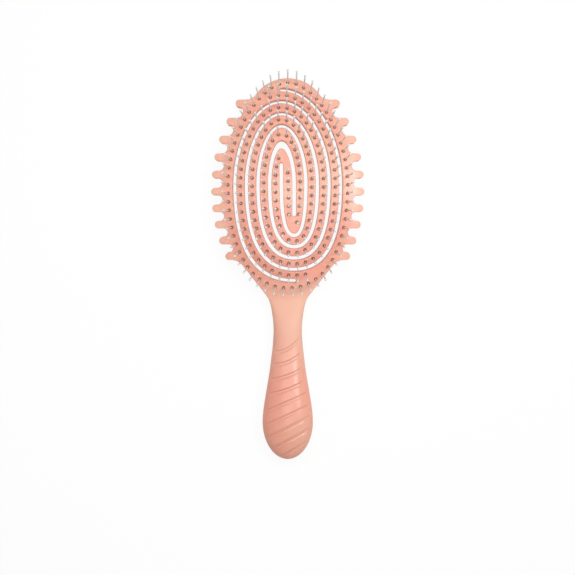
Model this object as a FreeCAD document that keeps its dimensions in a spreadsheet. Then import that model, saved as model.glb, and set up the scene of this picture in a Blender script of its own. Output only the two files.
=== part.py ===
import FreeCAD, Part
import math
import os

V = FreeCAD.Vector
doc = FreeCAD.newDocument("detangling_brush")

# Driving sizes in millimetres. "Reach" is a distance along the brush from the middle of the spiral.
SIZES = [
    # Dome of the head: front face radius, its top lies below the middle of the spiral.
    ("dome_radius", 200.0),
    ("apex_offset", 9.0),
    ("front_layer", 2.2),
    ("back_layer", 1.2),
    # Two slots that wind in from the rim and leave two spiral arms between them.
    ("spiral_half_width", 32.8),
    ("spiral_half_length", 59.4),
    ("core_half_width", 4.0),
    ("core_reach_top", 28.6),
    ("core_reach_bottom", 31.5),
    ("core_drop", 4.0),
    ("slot_width", 2.3),
    ("core_slot_width", 5.0),
    ("spiral_shift", 4.0),
    ("slot_end_top", 12.2),
    ("slot_end_bottom", 18.6),
    ("cut_shift", 3.1),
    # Outline of the head with its comb fingers.
    ("crown_reach", 66.6),
    ("crown_radius", 24.0),
    ("shoulder_radius", 7.0),
    ("tip_half_width", 47.2),
    ("tip_half_length", 71.0),
    ("root_half_width", 40.5),
    ("root_half_length", 66.0),
    ("oval_offset", 3.1),
    ("first_finger_reach", 50.7),
    ("finger_pitch", 11.47),
    ("finger_pitch_drop", 0.235),
    ("finger_width", 4.7),
    ("hip_half_width", 30.6),
    ("hip_radius", 9.0),
    ("throat_reach", 71.4),
    ("throat_half_width", 10.6),
    ("throat_radius", 8.0),
    ("tail_reach", 75.5),
    ("tail_half_width", 10.2),
    # Handle.
    ("handle_start_reach", 65.5),
    ("handle_start_half_width", 8.5),
    ("handle_start_thickness", 2.0),
    ("throat_cover", 0.5),
    ("throat_thickness", 7.6),
    ("throat_lift", 0.8),
    ("neck_reach", 90.3),
    ("neck_half_width", 8.9),
    ("neck_thickness", 11.2),
    ("neck_lift", 0.5),
    ("bulb_reach", 146.0),
    ("bulb_half_width", 15.7),
    ("bulb_thickness", 17.0),
    ("handle_reach", 169.2),
    ("rest_flat_depth", 0.5),
    ("wall_thickness", 2.2),
    ("cavity_start_reach", 88.0),
    ("peg_diameter", 3.0),
    ("peg_depth", 3.0),
    ("peg_clearance", 0.1),
    ("boss_wall", 1.6),
    ("first_peg_reach", 104.0),
    ("last_peg_reach", 150.0),
    # Pins.
    ("pin_spacing", 5.27),
    ("pin_length", 17.0),
    ("stem_diameter", 1.1),
    ("stem_tip_diameter", 0.85),
    ("ball_diameter", 1.5),
    ("rim_pin_half_width", 36.9),
    ("rim_pin_reach", 63.7),
]
FINGERS = 10
HALF_TURNS = 4
PEGS = 3
ROOT_PINS = 2
# Flats round the handle, on a round end, on a quarter turn of a slot and round a peg, and steps
# along a curve for spacing pins.
HANDLE_SIDES = 12
FLATS = 3
SLOT_FLATS = 7
PEG_SIDES = 8
CURVE_STEPS = 48

# Shares that shape the curves: length of a curve's handles next to its quarter turn.
TOP_FULLNESS_SHARE = 0.54
BOTTOM_FULLNESS_SHARE = 0.67
RIM_TOP_FULLNESS_SHARE = 0.47
RIM_BOTTOM_FULLNESS_SHARE = 0.63
BEND_HANDLE_SHARE = 4 / 3
BAR_LEAN_SHARE = 0.2
NEAR_SHARE_OF_SLOT = 0.0005
# Handle between start and throat, throat and neck, neck and bulb: place along it and growth.
START_SHARES = ((0.3, 0.26), (0.65, 0.6))
THROAT_SHARES = ((0.25, 0.36), (0.55, 0.76))
STATION_SHARES = ((0.25, 0.16), (0.5, 0.46), (0.77, 0.82), (0.9, 0.935))
# Sections of the handle's round end, in degrees of a quarter turn.
END_TURNS = (22, 42, 58, 70, 79, 86)

sheet = doc.addObject("Spreadsheet::Sheet", "Sizes")
for row, (alias, value) in enumerate(SIZES, start=1):
    sheet.set("A%d" % row, alias)
    sheet.set("B%d" % row, str(value))
    sheet.setAlias("B%d" % row, alias)
doc.recompute()


def size(alias):
    return float(sheet.get(alias))


# The part's frame: table at z = 0, middle of the bounding box at x = y = 0.
RADIUS = size("dome_radius")
MIDDLE_RADIUS = RADIUS - size("front_layer")
BACK_RADIUS = MIDDLE_RADIUS - size("back_layer")
CROWN_SPAN = size("crown_reach") + size("apex_offset")
PIN_TIP_RADIUS = RADIUS + size("pin_length") - size("ball_diameter") / 2
TIP_SPAN = (size("rim_pin_reach") + size("apex_offset")) * PIN_TIP_RADIUS / RADIUS
TIP_REACH = TIP_SPAN + size("ball_diameter") / 2 - size("apex_offset")
HEAD_Y = (size("handle_reach") - TIP_REACH) / 2
AXIS_Y = HEAD_Y - size("apex_offset")
CENTRE_Z = -BACK_RADIUS * math.sqrt(1 - (CROWN_SPAN / RADIUS) ** 2)
CENTRE = V(0, AXIS_Y, CENTRE_Z)


def front_point(x, reach):
    """Point of the front face over a plan position measured from the middle of the spiral."""
    from_axis = reach + size("apex_offset")
    rise = math.sqrt(RADIUS ** 2 - x ** 2 - from_axis ** 2)
    return CENTRE + V(x, from_axis, rise)


def layout(x, reach):
    """The same plan position carried along its radius to the plane that touches the dome."""
    out = front_point(x, reach) - CENTRE
    return CENTRE + out * (RADIUS / out.z)


def line(start, end):
    return Part.makeLine(layout(*start), layout(*end))


def arc(start, middle, end):
    return Part.Arc(layout(*start), layout(*middle), layout(*end)).toShape()


def quarter_poles(side, apex, share):
    """Poles of a quarter turn between a side point and a top or bottom point."""
    return [side,
            (side[0], side[1] + share * (apex[1] - side[1])),
            (apex[0] + share * (side[0] - apex[0]), apex[1]),
            apex]


def curve_points(poles, steps):
    points = []
    for step in range(steps + 1):
        along = step / steps
        weights = ((1 - along) ** 3, 3 * along * (1 - along) ** 2,
                   3 * along ** 2 * (1 - along), along ** 3)
        points.append((sum(w * p[0] for w, p in zip(weights, poles)),
                       sum(w * p[1] for w, p in zip(weights, poles))))
    return points


def quarter_points(side, apex, share, steps):
    return curve_points(quarter_poles(side, apex, share), steps)


def middle_of(first, second):
    return ((first[0] + second[0]) / 2, (first[1] + second[1]) / 2)


def half_round(first, last, outward):
    """Flat-sided half turn from one place to another, out to one side."""
    centre = middle_of(first, last)
    radius = math.dist(first, last) / 2
    places = []
    for index in range(FLATS + 1):
        across = math.cos(math.pi * index / FLATS)
        out = radius * math.sin(math.pi * index / FLATS)
        places.append((centre[0] + across * (first[0] - centre[0]) + out * outward[0],
                       centre[1] + across * (first[1] - centre[1]) + out * outward[1]))
    return places


def fullness(apex):
    return TOP_FULLNESS_SHARE if apex[1] > 0 else BOTTOM_FULLNESS_SHARE


# Crossings of the slots: slot A starts at the top and slot B at the bottom (turn = 1 or -1).
def apex_at(turn, index, edge):
    """Top or bottom point of a slot; edge -1, 0 or 1 is its inner edge, middle or outer edge."""
    top = turn * (-1) ** index > 0
    core = size("core_reach_top") if top else size("core_reach_bottom")
    length = size("spiral_half_length")
    reach = length - index * (length - core) / HALF_TURNS
    width = size("slot_width")
    if top and index == HALF_TURNS:
        reach -= size("core_drop")
        width = size("core_slot_width")
    reach += edge * width / 2
    shift = size("spiral_shift")
    return (-shift, reach) if top else (shift, -reach)


def side_at(turn, index, edge):
    right = turn * (-1) ** index > 0
    width = size("spiral_half_width")
    across = width - index * (width - size("core_half_width")) / HALF_TURNS
    across += edge * size("slot_width") / 2
    return (across, 0) if right else (-across, 0)


def slot_wire(turn):
    """Closed edge of one spiral slot with round ends."""
    sides = []
    for edge in (1, -1):
        points = []
        for index in range(HALF_TURNS + 1):
            apex = apex_at(turn, index, edge)
            side = side_at(turn, index, edge)
            points += quarter_points(side, apex, fullness(apex), SLOT_FLATS)[:0:-1]
            if index < HALF_TURNS:
                following = apex_at(turn, index + 1, edge)
                points += quarter_points(side, following, fullness(following), SLOT_FLATS)[:-1]
        points.append(side)
        sides.append(points)
    outer, inner = sides
    end = size("slot_end_bottom") if turn > 0 else size("slot_end_top")
    end_round = half_round((outer[-1][0], -turn * end), (inner[-1][0], -turn * end), (0, -turn))
    start_round = half_round(inner[0], outer[0], (-turn, 0))
    places = outer + end_round + inner[::-1] + start_round[1:-1]
    return Part.makePolygon([layout(*place) for place in places + places[:1]])


def corner(before, at, after, radius):
    """Arc that rounds a corner: its start, middle and end."""
    to_before = V(before[0] - at[0], before[1] - at[1], 0).normalize()
    to_after = V(after[0] - at[0], after[1] - at[1], 0).normalize()
    half_angle = to_before.getAngle(to_after) / 2
    along = radius / math.tan(half_angle)
    bisector = (to_before + to_after).normalize()
    point = V(at[0], at[1], 0)
    middle = point + bisector * (radius / math.sin(half_angle) - radius)
    start = point + to_before * along
    end = point + to_after * along
    return [(place.x, place.y) for place in (start, middle, end)]


def finger_reach(index):
    drop = size("finger_pitch_drop") * index * (index - 1) / 2
    return size("first_finger_reach") - size("finger_pitch") * index + drop


def oval_half_width(half_width, half_length, reach):
    across = (reach + size("oval_offset")) / half_length
    return half_width * math.sqrt(1 - across ** 2)


def outline_side(side):
    """One side of the head from the crown to the tail, side = 1 right, -1 left."""
    half = size("finger_width") / 2
    crown = size("crown_radius")
    crown_centre = size("crown_reach") - crown
    shoulder = size("shoulder_radius")
    edge_reach = finger_reach(0) + half
    rise = edge_reach + shoulder - crown_centre
    shoulder_x = math.sqrt((crown + shoulder) ** 2 - rise ** 2)
    touch_share = crown / (crown + shoulder)
    touch = (shoulder_x * touch_share, crown_centre + rise * touch_share)
    crown_angle = math.atan2(touch[0], rise * touch_share) / 2
    crown_middle = (crown * math.sin(crown_angle), crown_centre + crown * math.cos(crown_angle))
    runs = [("arc", (0, size("crown_reach")), crown_middle, touch)]
    shoulder_centre = (shoulder_x, edge_reach + shoulder)
    turned = (math.atan2(-rise, -shoulder_x) + math.atan2(-1, 0)) / 2
    shoulder_middle = (shoulder_centre[0] + shoulder * math.cos(turned),
                       shoulder_centre[1] + shoulder * math.sin(turned))
    runs.append(("arc", touch, shoulder_middle, (shoulder_x, edge_reach)))
    here = (shoulder_x, edge_reach)
    for index in range(FINGERS):
        reach = finger_reach(index)
        tip = oval_half_width(size("tip_half_width"), size("tip_half_length"), reach)
        if here[0] < tip - half:
            runs.append(("line", here, (tip - half, reach + half)))
        runs.append(("flats", *half_round((tip - half, reach + half), (tip - half, reach - half), (1, 0))))
        here = (tip - half, reach - half)
        if index < FINGERS - 1:
            below = finger_reach(index + 1) + half
            gap = (reach - half - below) / 2
            middle = below + gap
            root = oval_half_width(size("root_half_width"), size("root_half_length"), middle)
            next_tip = oval_half_width(size("tip_half_width"), size("tip_half_length"),
                                       finger_reach(index + 1))
            upper = min(root + gap, tip - half)
            lower = min(root + gap, next_tip - half)
            handle = ((upper + lower) / 2 - root) * BEND_HANDLE_SHARE
            if upper < here[0]:
                runs.append(("line", here, (upper, here[1])))
            poles = ((upper, here[1]), (upper - handle, here[1]), (lower - handle, below), (lower, below))
            runs.append(("flats", *curve_points(poles, FLATS)))
            here = (lower, below)
    hip = (size("hip_half_width"), here[1])
    throat = (size("throat_half_width"), -size("throat_reach"))
    tail = (size("tail_half_width"), -size("tail_reach"))
    hip_arc = corner(here, hip, throat, size("hip_radius"))
    throat_arc = corner(hip, throat, tail, size("throat_radius"))
    runs.append(("line", here, hip_arc[0]))
    runs.append(("arc", *hip_arc))
    runs.append(("line", hip_arc[2], throat_arc[0]))
    runs.append(("arc", *throat_arc))
    runs.append(("line", throat_arc[2], tail))
    runs.append(("line", tail, (0, tail[1])))
    edges = []
    for kind, *places in runs:
        places = [(side * x, y) for x, y in places]
        if kind == "flats":
            edges += [line(here, there) for here, there in zip(places, places[1:])]
        else:
            edges.append({"line": line, "arc": arc}[kind](*places))
    return edges


def outline_wire():
    return Part.Wire(Part.__sortEdges__(outline_side(1) + outline_side(-1)))


# Every wall of the head runs along the dome's radius, so each outline becomes a cone about its centre.
FAR_SHARE = 1.01
NEAR_SHARE = 0.88


def radial_block(name, wire):
    ends = []
    for level, share in (("near", NEAR_SHARE), ("far", FAR_SHARE)):
        copy = wire.copy()
        copy.scale(share, CENTRE)
        end = doc.addObject("Part::Feature", "%s_%s" % (name, level))
        end.Shape = copy
        ends.append(end)
    block = doc.addObject("Part::Loft", name)
    block.Sections = ends
    block.Solid = True
    block.Ruled = True
    return block


def cut(name, base, tool):
    made = doc.addObject("Part::Cut", name)
    made.Base = base
    made.Tool = tool
    return made


def common(name, base, tool):
    made = doc.addObject("Part::Common", name)
    made.Base = base
    made.Tool = tool
    return made


def fuse(name, *shapes):
    made = doc.addObject("Part::MultiFuse", name)
    made.Shapes = list(shapes)
    return made


def ball(name, radius):
    """Ball about the dome's centre, its seam turned away from the head."""
    made = doc.addObject("Part::Sphere", name)
    made.setExpression("Radius", radius)
    made.Placement = FreeCAD.Placement(CENTRE, FreeCAD.Rotation(V(0, 1, 0), 90))
    return made


def cut_face(turn):
    """Flat face across the arms at the top or bottom, where one half-turn meets the next."""
    outer = apex_at(turn, 0, 0)[1]
    inner = apex_at(turn, HALF_TURNS, 0)[1]
    x = -turn * size("cut_shift")
    low = CENTRE_Z + BACK_RADIUS * NEAR_SHARE
    high = CENTRE_Z + RADIUS * FAR_SHARE
    corners = [V(x, HEAD_Y + outer, low), V(x, HEAD_Y + inner, low),
               V(x, HEAD_Y + inner, high), V(x, HEAD_Y + outer, high)]
    return Part.Face(Part.makePolygon(corners + corners[:1]))


def radial_point(x, reach, radius):
    out = front_point(x, reach) - CENTRE
    return CENTRE + out * (radius / RADIUS)


def piece_at(pieces, x, reach, radius):
    """The piece of a split plate that holds the given place, its small faces made sound."""
    place = radial_point(x, reach, radius)
    near = size("slot_width") * NEAR_SHARE_OF_SLOT
    piece = [one for one in pieces if one.isInside(place, near, True)][0].copy()
    if not piece.isValid():
        piece.fix(near, near, near)
    return piece


def arm_middle(turn, ring):
    """Start, side and end of an arm's middle line over one half-turn."""
    start = middle_of(apex_at(turn, ring - 1, -1), apex_at(-turn, ring, 1))
    side = middle_of(side_at(turn, ring - 1, -1), side_at(-turn, ring, 1))
    if ring < HALF_TURNS:
        return start, side, middle_of(apex_at(turn, ring, -1), apex_at(-turn, ring + 1, 1))
    end = size("slot_end_bottom") if turn < 0 else size("slot_end_top")
    cap = (side_at(-turn, HALF_TURNS, 0)[0], turn * (end + size("slot_width") / 2))
    return start, side, middle_of(apex_at(turn, ring, -1), cap)


def places_along(points, distances):
    """Places at the given distances along a run of points."""
    found = []
    travelled = 0
    wanted = list(distances)
    for here, there in zip(points, points[1:]):
        step = math.dist(here, there)
        while wanted and wanted[0] <= travelled + step:
            share = (wanted.pop(0) - travelled) / step
            found.append((here[0] + share * (there[0] - here[0]),
                          here[1] + share * (there[1] - here[1])))
        travelled += step
    return found


def run_length(points):
    return sum(math.dist(here, there) for here, there in zip(points, points[1:]))


def arm_places(turn, ring):
    """Pin places on one half-turn, half a space clear of the cuts at its ends."""
    start, side, end = arm_middle(turn, ring)
    points = quarter_points(side, start, fullness(start), CURVE_STEPS)[::-1]
    points += quarter_points(side, end, fullness(end), CURVE_STEPS)[1:]
    length = run_length(points)
    lead = size("spiral_shift") - size("cut_shift")
    count = round(length / size("pin_spacing"))
    if ring < HALF_TURNS:
        step = length / count
        return places_along(points, [lead + (index + 0.5) * step for index in range(count)])
    first = lead + size("pin_spacing") / 2
    step = (length - first) / (count - 0.5)
    return places_along(points, [first + index * step for index in range(count)])


def bar_places():
    top = size("slot_end_top") - size("pin_spacing") / 2
    bottom = -size("slot_end_bottom") - size("pin_spacing") / 2
    run = [(0, top), (BAR_LEAN_SHARE * size("spiral_shift"), bottom)]
    count = round(run_length(run) / size("pin_spacing"))
    step = run_length(run) / count
    return places_along(run, [(index + 0.5) * step for index in range(count)])


def root_places(turn):
    """Pins on the rim where an arm leaves it, in line with the arm."""
    start, side, end = arm_middle(turn, 1)
    points = [(2 * start[0] - x, y) for x, y in quarter_points(side, start, fullness(start), CURVE_STEPS)[::-1]]
    lead = size("spiral_shift") - size("cut_shift")
    return places_along(points, [(index + 0.5) * size("pin_spacing") - lead
                                 for index in range(ROOT_PINS)])


def rim_places():
    across = size("rim_pin_half_width")
    top = (0, size("rim_pin_reach"))
    bottom = (0, -size("rim_pin_reach"))
    points = quarter_points((across, 0), top, RIM_TOP_FULLNESS_SHARE, CURVE_STEPS)[::-1]
    points += quarter_points((across, 0), bottom, RIM_BOTTOM_FULLNESS_SHARE, CURVE_STEPS)[1:]
    points += [(-x, y) for x, y in points[-2::-1]]
    count = round(run_length(points) / size("pin_spacing"))
    step = run_length(points) / count
    return places_along(points, [index * step for index in range(count)])


def pin_placement(x, reach):
    """Stand of a pin: on the front face, along the dome's radius."""
    at = front_point(x, reach)
    return FreeCAD.Placement(at, FreeCAD.Rotation(V(0, 0, 1), at - CENTRE))


def finished(name, shape):
    made = doc.addObject("Part::Feature", name)
    made.Label = name
    made.Shape = shape
    return made


# Head: one slotted dome, split into a front and a back layer.
head_block = radial_block("head_block", outline_wire())
slot_a = radial_block("slot_a", slot_wire(1))
slot_b = radial_block("slot_b", slot_wire(-1))
slotted = cut("slotted_block", cut("slotted_once", head_block, slot_a), slot_b)
front_ball = ball("front_ball", "Sizes.dome_radius")
middle_ball = ball("middle_ball", "Sizes.dome_radius - Sizes.front_layer")
back_ball = ball("back_ball", "Sizes.dome_radius - Sizes.front_layer - Sizes.back_layer")
front_plate = cut("front_plate", common("front_cap", slotted, front_ball), middle_ball)
back_plate = cut("back_plate", common("back_cap", slotted, middle_ball), back_ball)
doc.recompute()
cuts = [cut_face(1), cut_face(-1)]
front_pieces = front_plate.Shape.generalFuse(cuts)[0].Solids
back_pieces = back_plate.Shape.generalFuse(cuts)[0].Solids
FRONT_MIDDLE = RADIUS - size("front_layer") / 2
BACK_MIDDLE = BACK_RADIUS + size("back_layer") / 2

nodes = []
for turn, arm in ((1, "arm_a"), (-1, "arm_b")):
    for ring in range(1, HALF_TURNS):
        place = arm_middle(turn, ring)[1]
        front = piece_at(front_pieces, place[0], place[1], FRONT_MIDDLE)
        nodes.append(finished("%s_front_%d" % (arm, ring), front))
        back = piece_at(back_pieces, place[0], place[1], BACK_MIDDLE)
        nodes.append(finished("%s_back_%d" % (arm, ring), back))
core_places = arm_places(1, HALF_TURNS) + arm_places(-1, HALF_TURNS) + bar_places()
nodes.append(finished("centre_front", piece_at(front_pieces, 0, 0, FRONT_MIDDLE)))
nodes.append(finished("centre_back", piece_at(back_pieces, 0, 0, BACK_MIDDLE)))

# Handle: an oval section that grows out of the head, narrows to the neck and swells to the bulb.
CORNER_SHARE = math.cos(math.pi / HANDLE_SIDES)
PLATE_MIDDLE = (RADIUS + BACK_RADIUS) / 2


def plate_height(reach):
    return CENTRE_Z + math.sqrt(PLATE_MIDDLE ** 2 - (reach - size("apex_offset")) ** 2)


def station_between(first, last, along, growth):
    station = [first[0] + along * (last[0] - first[0])]
    station += [low + growth * (high - low) for low, high in zip(first[1:], last[1:])]
    return tuple(station)


def handle_stations():
    """Reach, half width, height of the middle and half thickness of each section."""
    start = (size("handle_start_reach"), size("handle_start_half_width"),
             plate_height(size("handle_start_reach")), size("handle_start_thickness") / 2)
    throat = (size("tail_reach"), size("tail_half_width") + size("throat_cover"),
              plate_height(size("tail_reach")) + size("throat_lift"), size("throat_thickness") / 2)
    neck = (size("neck_reach"), size("neck_half_width"),
            size("neck_lift") + size("neck_thickness") / 2, size("neck_thickness") / 2)
    bulb = (size("bulb_reach"), size("bulb_half_width"),
            size("bulb_thickness") / 2 - size("rest_flat_depth"), size("bulb_thickness") / 2)
    stations = [start]
    for first, last, shares in ((start, throat, START_SHARES), (throat, neck, THROAT_SHARES),
                                (neck, bulb, STATION_SHARES)):
        stations += [station_between(first, last, along, growth) for along, growth in shares]
        stations.append(last)
    return stations


def handle_at(reach):
    """Section between two stations, or on the round end past the bulb."""
    stations = handle_stations()
    for first, last in zip(stations, stations[1:]):
        if first[0] <= reach <= last[0]:
            share = (reach - first[0]) / (last[0] - first[0])
            return [a + share * (b - a) for a, b in zip(first[1:], last[1:])]
    bulb = stations[-1]
    past = min(1, (reach - bulb[0]) / (size("handle_reach") - bulb[0]))
    shrink = math.sqrt(1 - past ** 2)
    return [bulb[1] * shrink, bulb[2], bulb[3] * shrink]


def handle_body(name, stations, side_inset, height_inset):
    """Loft through oval sections with flat sides and on over the round end."""
    bulb = stations[-1]
    length = size("handle_reach") - bulb[0] - side_inset
    rounding = [(bulb[0] + length * math.sin(math.radians(turn)), math.cos(math.radians(turn)))
                for turn in END_TURNS]
    rows = [(reach, half_width - side_inset, middle, half_thickness - height_inset)
            for reach, half_width, middle, half_thickness in stations]
    rows += [(reach, rows[-1][1] * shrink, bulb[2], rows[-1][3] * shrink) for reach, shrink in rounding]
    sections = []
    for number, (reach, half_width, middle, half_thickness) in enumerate(rows):
        section = doc.addObject("Part::Feature", "%s_section_%d" % (name, number))
        corners = []
        for index in range(HANDLE_SIDES + 1):
            turn = 2 * math.pi * (index + 0.5) / HANDLE_SIDES
            corners.append(V(half_width * math.cos(turn) / CORNER_SHARE, HEAD_Y - reach,
                             middle + half_thickness * math.sin(turn) / CORNER_SHARE))
        section.Shape = Part.makePolygon(corners)
        sections.append(section)
    body = doc.addObject("Part::Loft", name)
    body.Sections = sections
    body.Solid = True
    return body


stations = handle_stations()
cavity_first = (size("cavity_start_reach"), *handle_at(size("cavity_start_reach")))
cavity_stations = [cavity_first] + [one for one in stations if one[0] > size("neck_reach")]
handle = handle_body("handle_solid", stations, 0, 0)
cavity = handle_body("handle_cavity", cavity_stations, size("wall_thickness"), size("wall_thickness"))

# Table plane, and the parting: the middle ball in the head and a flat plane along the handle.
PARTING_Y = HEAD_Y - size("tail_reach")
PARTING_Z = CENTRE_Z + math.sqrt(MIDDLE_RADIUS ** 2 - (size("tail_reach") - size("apex_offset")) ** 2)
WIDE = 2 * size("bulb_half_width")
TALL = 2 * size("bulb_thickness")
LONG = size("handle_reach")


def block(name, low, high):
    made = doc.addObject("Part::Box", name)
    made.Length = high[0] - low[0]
    made.Width = high[1] - low[1]
    made.Height = high[2] - low[2]
    made.Placement.Base = V(*low)
    return made


table = block("table", (-WIDE, HEAD_Y - LONG, -TALL), (WIDE, HEAD_Y, 0))
head_side = block("head_side", (-WIDE, PARTING_Y, -TALL), (WIDE, HEAD_Y, TALL))
lid_side = block("lid_side", (-WIDE, HEAD_Y - LONG, -TALL), (WIDE, PARTING_Y, PARTING_Z))
back_side = fuse("back_side", common("back_of_head", middle_ball, head_side), lid_side)
hollow = cut("handle_hollow", cut("handle_flat", handle, table), cavity)
handle_front = cut("handle_front", hollow, back_side)
handle_back = common("handle_back", hollow, back_side)
doc.recompute()


def prism(radius, height, at):
    corners = []
    for index in range(PEG_SIDES + 1):
        turn = 2 * math.pi * (index + 0.5) / PEG_SIDES
        corners.append(at + V(radius * math.cos(turn), radius * math.sin(turn), 0))
    return Part.Face(Part.makePolygon(corners)).extrude(V(0, 0, height))


def pegs():
    """Bosses of the front half, their bores, and pegs and posts of the back half."""
    bosses, bores, posts = [], [], []
    radius = size("peg_diameter") / 2
    bore = radius + size("peg_clearance")
    boss = bore + size("boss_wall")
    for index in range(PEGS):
        share = index / (PEGS - 1)
        reach = size("first_peg_reach") + share * (size("last_peg_reach") - size("first_peg_reach"))
        half_width, middle, half_thickness = handle_at(reach)
        top = middle + half_thickness - size("wall_thickness") / 2
        bottom = max(0, middle - half_thickness) + size("wall_thickness") / 2
        at = V(0, HEAD_Y - reach, PARTING_Z)
        bosses.append(prism(boss, top - PARTING_Z, at))
        bores.append(prism(bore, size("peg_depth") + size("peg_clearance"), at))
        low = V(0, HEAD_Y - reach, bottom)
        posts.append(prism(boss, PARTING_Z - bottom, low))
        posts.append(prism(radius, PARTING_Z - bottom + size("peg_depth"), low))
    return bosses, bores, posts


bosses, bores, posts = pegs()
rim_front = piece_at(front_pieces, size("rim_pin_half_width"), 0, FRONT_MIDDLE)
rim_back = piece_at(back_pieces, size("rim_pin_half_width"), 0, BACK_MIDDLE)
all_rim_places = rim_places() + root_places(1) + root_places(-1)
shell = handle_front.Shape.fuse(bosses).cut(bores)
front_shell = rim_front.fuse(shell)
back_shell = rim_back.fuse([handle_back.Shape] + posts)
nodes.append(finished("front_shell", front_shell.removeSplitter()))
nodes.append(finished("back_shell", back_shell.removeSplitter()))

# Pin: a tapered stem with a ball tip, each with four flat sides.
def taper(name, bottom, top, low_width, high_width):
    made = doc.addObject("Part::Wedge", name)
    for end, width in (("", low_width), ("2", high_width)):
        for across in ("X", "Z"):
            made.setExpression("%s%smin" % (across, end), "-(%s) / 2" % width)
            made.setExpression("%s%smax" % (across, end), "(%s) / 2" % width)
    made.setExpression("Ymin", bottom)
    made.setExpression("Ymax", top)
    made.Placement.Rotation = FreeCAD.Rotation(V(1, 0, 0), 90)
    return made


BALL_START = "Sizes.pin_length - Sizes.ball_diameter"
BALL_MIDDLE = "Sizes.pin_length - Sizes.ball_diameter / 2"
pin = fuse("pin",
           taper("pin_stem", "0", BALL_START, "Sizes.stem_diameter", "Sizes.stem_tip_diameter"),
           taper("ball_low", BALL_START, BALL_MIDDLE, "Sizes.stem_tip_diameter", "Sizes.ball_diameter"),
           taper("ball_high", BALL_MIDDLE, "Sizes.pin_length", "Sizes.ball_diameter", "0"))
doc.recompute()


def pin_group(name, places):
    copies = []
    for x, reach in places:
        copy = pin.Shape.copy()
        copy.Placement = pin_placement(x, reach)
        copies.append(copy)
    return finished(name, Part.makeCompound(copies))


nodes.append(pin_group("rim_pins", all_rim_places))
for ring in range(1, HALF_TURNS):
    nodes.append(pin_group("turn_pins_%d" % ring, arm_places(1, ring) + arm_places(-1, ring)))
nodes.append(pin_group("centre_pins", core_places))
doc.recompute()

os.makedirs("parts", exist_ok=True)
for made in doc.Objects:
    if "Invalid" in made.State or "Error" in made.State:
        raise RuntimeError("%s did not build" % made.Name)
for node in nodes:
    if node.Shape.isNull() or not node.Shape.isValid():
        raise RuntimeError("%s has no valid shape" % node.Label)
    node.Shape.exportStep("parts/%s.step" % node.Label)
    print(node.Label, len(node.Shape.Solids), round(node.Shape.Volume, 2))
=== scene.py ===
import math

import bmesh
import bpy
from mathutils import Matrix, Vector


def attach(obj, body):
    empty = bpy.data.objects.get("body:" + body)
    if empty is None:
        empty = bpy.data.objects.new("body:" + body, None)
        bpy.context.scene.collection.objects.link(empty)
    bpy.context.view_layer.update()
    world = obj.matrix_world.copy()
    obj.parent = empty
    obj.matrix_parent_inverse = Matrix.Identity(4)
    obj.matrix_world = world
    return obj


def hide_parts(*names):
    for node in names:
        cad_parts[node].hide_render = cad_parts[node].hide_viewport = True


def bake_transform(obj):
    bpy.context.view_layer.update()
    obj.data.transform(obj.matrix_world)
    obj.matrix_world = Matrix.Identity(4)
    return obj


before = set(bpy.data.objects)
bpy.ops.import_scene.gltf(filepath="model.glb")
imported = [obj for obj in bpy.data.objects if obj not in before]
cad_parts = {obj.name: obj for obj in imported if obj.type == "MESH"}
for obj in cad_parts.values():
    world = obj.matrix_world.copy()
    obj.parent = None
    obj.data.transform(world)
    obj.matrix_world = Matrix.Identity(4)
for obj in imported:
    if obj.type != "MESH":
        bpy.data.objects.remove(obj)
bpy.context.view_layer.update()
scene = bpy.context.scene

MM = 0.001

# Dome of the head and its place, in millimetres: reach is measured along the brush from the spiral's middle.
HEAD_Y = 49.4216
APEX_OFFSET = 9.0
CENTRE_Z = -182.0134
RADIUS = 200.0
FRONT_LAYER = 2.2
BACK_LAYER = 1.2
# Rounding of the edges of the front and the back layer, and its steps.
EDGE_ROUND = 0.42
BACK_ROUND = 0.3
ROUND_STEPS = 2

# Spiral slots.
HALF_TURNS = 4
SPIRAL_HALF_WIDTH = 32.8
SPIRAL_HALF_LENGTH = 59.4
CORE_HALF_WIDTH = 4.0
CORE_REACH_TOP = 28.6
CORE_REACH_BOTTOM = 31.5
CORE_DROP = 4.0
SLOT_WIDTH = 2.3
CORE_SLOT_WIDTH = 5.0
SPIRAL_SHIFT = 4.0
SLOT_END_TOP = 12.2
SLOT_END_BOTTOM = 18.6
CUT_SHIFT = 3.1
TOP_FULLNESS = 0.54
BOTTOM_FULLNESS = 0.67
CURVE_STEPS = 28

# Outline of the head. The ovals through the finger tips and roots have a half width and a half length.
CROWN_REACH = 66.6
CROWN_RADIUS = 24.0
SHOULDER_RADIUS = 7.0
TIP_OVAL = (47.2, 71.0)
ROOT_OVAL = (40.5, 66.0)
OVAL_OFFSET = 3.1
FINGERS = 10
FIRST_FINGER = 50.7
FINGER_PITCH = 11.47
PITCH_DROP = 0.235
FINGER_WIDTH = 4.7
FIRST_TIP_EXTRA = 1.5
# Hip: half width and rounding. Throat: half width, reach and rounding. Tail: half width and reach.
HIP = (30.6, 9.0)
THROAT = (9.9, 72.6, 4.0)
TAIL = (9.2, 75.0)
BEND_HANDLE = 4 / 3

# Steps along the crown, a shoulder, a round end, a gap between fingers, a rounded corner and a quarter
# turn of a row of pins.
CROWN_STEPS = 40
SHOULDER_STEPS = 14
END_ROUND_STEPS = 12
GAP_STEPS = 14
CORNER_STEPS = 16
ROW_STEPS = 48
# Points of the outline and vertices of a plate that are nearer than this are one.
SAME_POINT = 0.02
SAME_VERTEX = 1e-4
# Edges of a plate that are longer than this are halved, in so many rounds, to follow the dome.
LONG_EDGE = 5
SPLIT_ROUNDS = 3
# Cuts across the arms: how far their faces are from the line at most, and what counts as on it.
CUT_REACH = 14
ON_CUT = 1e-5
# Share of a face's normal along Z from which the face is part of the front or back.
FLAT_SHARE = 0.9
# How far the shading of a plate leans on its large faces, out of 100.
LARGE_FACE_WEIGHT = 100

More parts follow.
